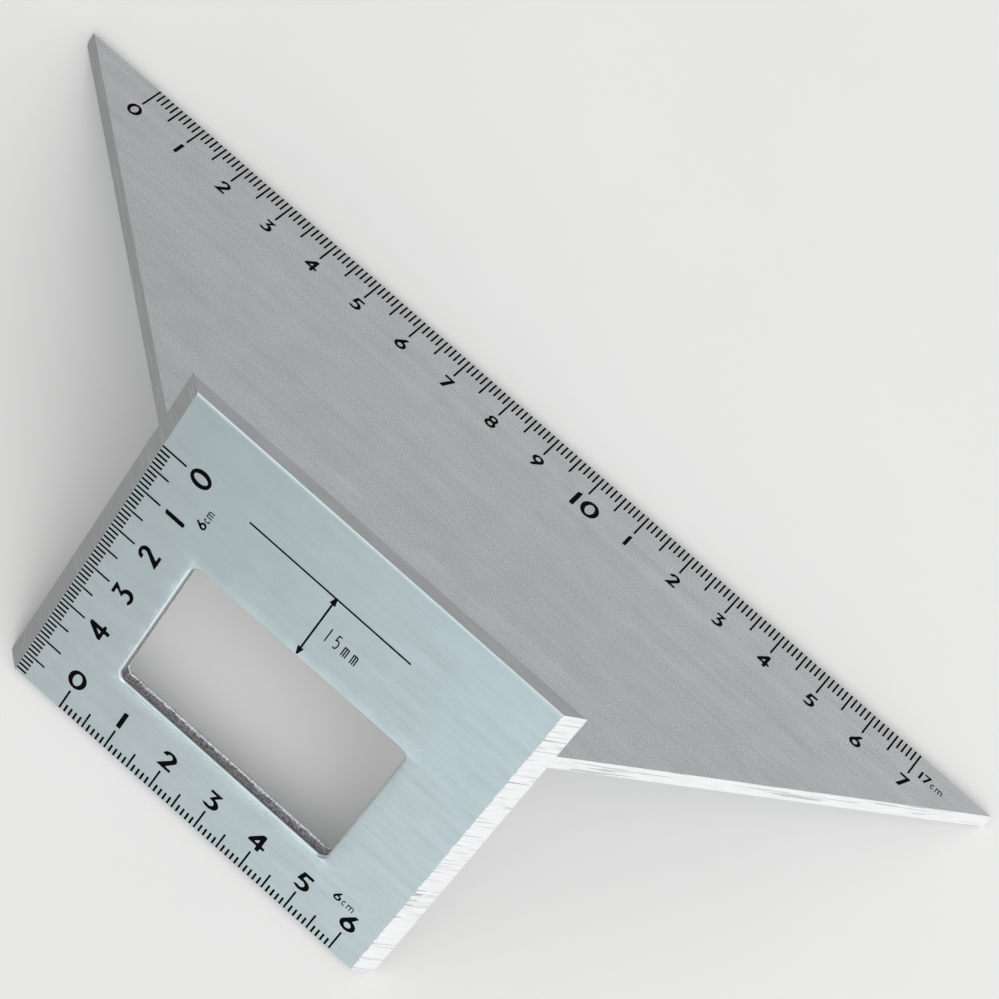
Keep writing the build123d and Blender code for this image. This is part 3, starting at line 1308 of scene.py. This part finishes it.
class MITRESQUARE_OT_gauge_number(bpy.types.Operator):
    """Print the gauge's depth beside its arrow"""

    bl_idname = "mitre_square.gauge_number"
    bl_label = "Gauge number"

    def execute(self, context):
        sizes = context.scene.mitre_square_print
        glyphs = ("thin 1", "thin 5", "tall m", "tall m")
        heights = (sizes.gauge_digit, sizes.gauge_digit, sizes.gauge_letter, sizes.gauge_letter)
        text = list(zip(glyphs, heights, GAUGE_GAPS, strict=True))
        print_piece("gauge_number", line_of_text(text, *GAUGE_TEXT), FENCE_FACE)
        return {"FINISHED"}


# Stage


def aimed(place, target):
    """The turn of a light at a place that faces a target."""
    return (Vector(target) - Vector(place)).to_track_quat("-Z", "Y").to_euler()


def soft_light(name, place, size, power):
    """A square soft light that faces the object."""
    light = bpy.data.lights.new(name, "AREA")
    light.energy = power
    light.size = size
    lamp = bpy.data.objects.new(name, light)
    lamp.location = place
    lamp.rotation_euler = aimed(place, (0, 0, 0))
    lamp.visible_camera = False
    lamp.visible_glossy = False
    bpy.context.collection.objects.link(lamp)


# The room that the metal mirrors: its tints, and how its light changes between two places in it
FRONT_TINT = (0.75, 0.95, 1.0)
BACK_TINT = (1.0, 0.99, 0.99)
WHOLE_ROOM = (-1, 1)
ROOM_BACK = (WHOLE_ROOM, (0.91, 0.395))
ROOM_TOP = ((0.55, 0.95), (0, 0.6))
ROOM_SIDES = (
    ((-0.22, 0.10), (-1.15, 1.15)),
    ((-0.35, -0.65), (0, 1.15)),
    ((0.25, 0.60), (0, -0.95)),
)
ROOM_HORIZON = ((0, 0.25), (0.28, -0.18))
FRONT_ONLY = ((0.6, -0.9), (0.12, 1))
LEAST_LIGHT = 0.1
FILM_WIDTH = 36


def studio_room(stage):
    """Light from the room: even on what scatters it, and brighter at the front right where it is mirrored."""
    world = bpy.data.worlds.new("studio room")
    bpy.context.scene.world = world
    world.use_nodes = True
    tree = world.node_tree
    shade = tree.nodes["Background"]
    feed(tree, shade, {"Color": (1, 1, 1, 1), "Strength": stage.room_light})
    place = tree.nodes.new("ShaderNodeTexCoord")
    across, back, up = along_back_up(tree, place.outputs["Generated"])
    tint = ramp(tree, spread(tree, back, WHOLE_ROOM, (0, 1)), [(0, FRONT_TINT), (1, BACK_TINT)])
    sides = [spread(tree, across, *change) for change in ROOM_SIDES]
    front = total(tree, *sides, spread(tree, up, *ROOM_HORIZON))
    walls = total(
        tree,
        spread(tree, back, *ROOM_BACK),
        spread(tree, up, *ROOM_TOP),
        product(tree, front, spread(tree, back, *FRONT_ONLY)),
    )
    strength = math_node(tree, "MAXIMUM", walls, LEAST_LIGHT)
    seen = fed_node(tree, "ShaderNodeBackground", {"Color": tint, "Strength": strength})
    rays = tree.nodes.new("ShaderNodeLightPath")
    direct = math_node(tree, "MAXIMUM", rays.outputs["Is Camera Ray"], rays.outputs["Is Glossy Ray"])
    direct = math_node(tree, "MAXIMUM", direct, rays.outputs["Is Transmission Ray"])
    lights = {"Fac": direct, 1: shade.outputs["Background"], 2: seen.outputs["Background"]}
    mixed = fed_node(tree, "ShaderNodeMixShader", lights)
    feed(tree, tree.nodes["World Output"], {"Surface": mixed.outputs["Shader"]})


class MITRESQUARE_OT_stage(bpy.types.Operator):
    """Set up the pale floor, the soft light and the camera"""

    bl_idname = "mitre_square.stage"
    bl_label = "Stage"

    def execute(self, context):
        stage = context.scene.mitre_square_stage
        mesh = bpy.data.meshes.new("floor")
        half = stage.floor_size / 2
        corners = [(-half, -half, 0), (half, -half, 0), (half, half, 0), (-half, half, 0)]
        mesh.from_pydata(corners, [], [(0, 1, 2, 3)])
        mesh.materials.append(made_once("pale floor", pale_floor, stage))
        floor = bpy.data.objects.new("floor", mesh)
        context.collection.objects.link(floor)
        soft_light("key light", stage.key_place, stage.key_size, stage.key_power)
        studio_room(stage)
        turn = Euler(stage.camera_turn)
        lens = bpy.data.cameras.new("camera")
        lens.sensor_width = FILM_WIDTH
        lens.lens = stage.camera_lens
        camera = bpy.data.objects.new("camera", lens)
        camera.rotation_euler = turn
        camera.location = Vector(stage.camera_aim) + turn.to_matrix() @ Vector((0, 0, stage.camera_distance))
        context.collection.objects.link(camera)
        context.scene.camera = camera
        context.scene.view_settings.view_transform = "Standard"
        return {"FINISHED"}


class MITRESQUARE_PT_panel(bpy.types.Panel):
    """Sizes, finishes and steps of the mitre square"""

    bl_idname = "MITRESQUARE_PT_panel"
    bl_label = "Mitre Square"
    bl_space_type = "VIEW_3D"
    bl_region_type = "UI"
    bl_category = "Mitre Square"

    def draw(self, context):
        for group in PROPERTIES:
            settings = getattr(context.scene, group)
            column = self.layout.column()
            for name in settings.__annotations__:
                column.prop(settings, name)
        for operator in OPERATORS:
            self.layout.operator(operator.bl_idname)


PROPERTIES = {
    "mitre_square_metal": MitreSquareMetal,
    "mitre_square_print": MitreSquarePrint,
    "mitre_square_stage": MitreSquareStage,
}
OPERATORS = (
    MITRESQUARE_OT_fence,
    MITRESQUARE_OT_blade,
    MITRESQUARE_OT_print_lines,
    MITRESQUARE_OT_fence_lines,
    MITRESQUARE_OT_blade_numbers,
    MITRESQUARE_OT_fence_numbers,
    MITRESQUARE_OT_gauge_mark,
    MITRESQUARE_OT_gauge_number,
    MITRESQUARE_OT_stage,
)


def register():
    """Registers the settings, the steps and the panel."""
    for name, group in PROPERTIES.items():
        bpy.utils.register_class(group)
        setattr(bpy.types.Scene, name, PointerProperty(type=group))
    for operator in OPERATORS:
        bpy.utils.register_class(operator)
    bpy.utils.register_class(MITRESQUARE_PT_panel)


def unregister():
    """Takes the panel, the steps and the settings away again."""
    bpy.utils.unregister_class(MITRESQUARE_PT_panel)
    for operator in reversed(OPERATORS):
        bpy.utils.unregister_class(operator)
    for name, group in PROPERTIES.items():
        delattr(bpy.types.Scene, name)
        bpy.utils.unregister_class(group)


def main():
    """Runs every step in order."""
    register()
    for operator in OPERATORS:
        step = operator.bl_idname.partition(".")[2]
        getattr(bpy.ops.mitre_square, step)()
    for glyph in list(glyph_collection().objects):
        bpy.data.objects.remove(glyph)


if __name__ == "__main__":
    main()
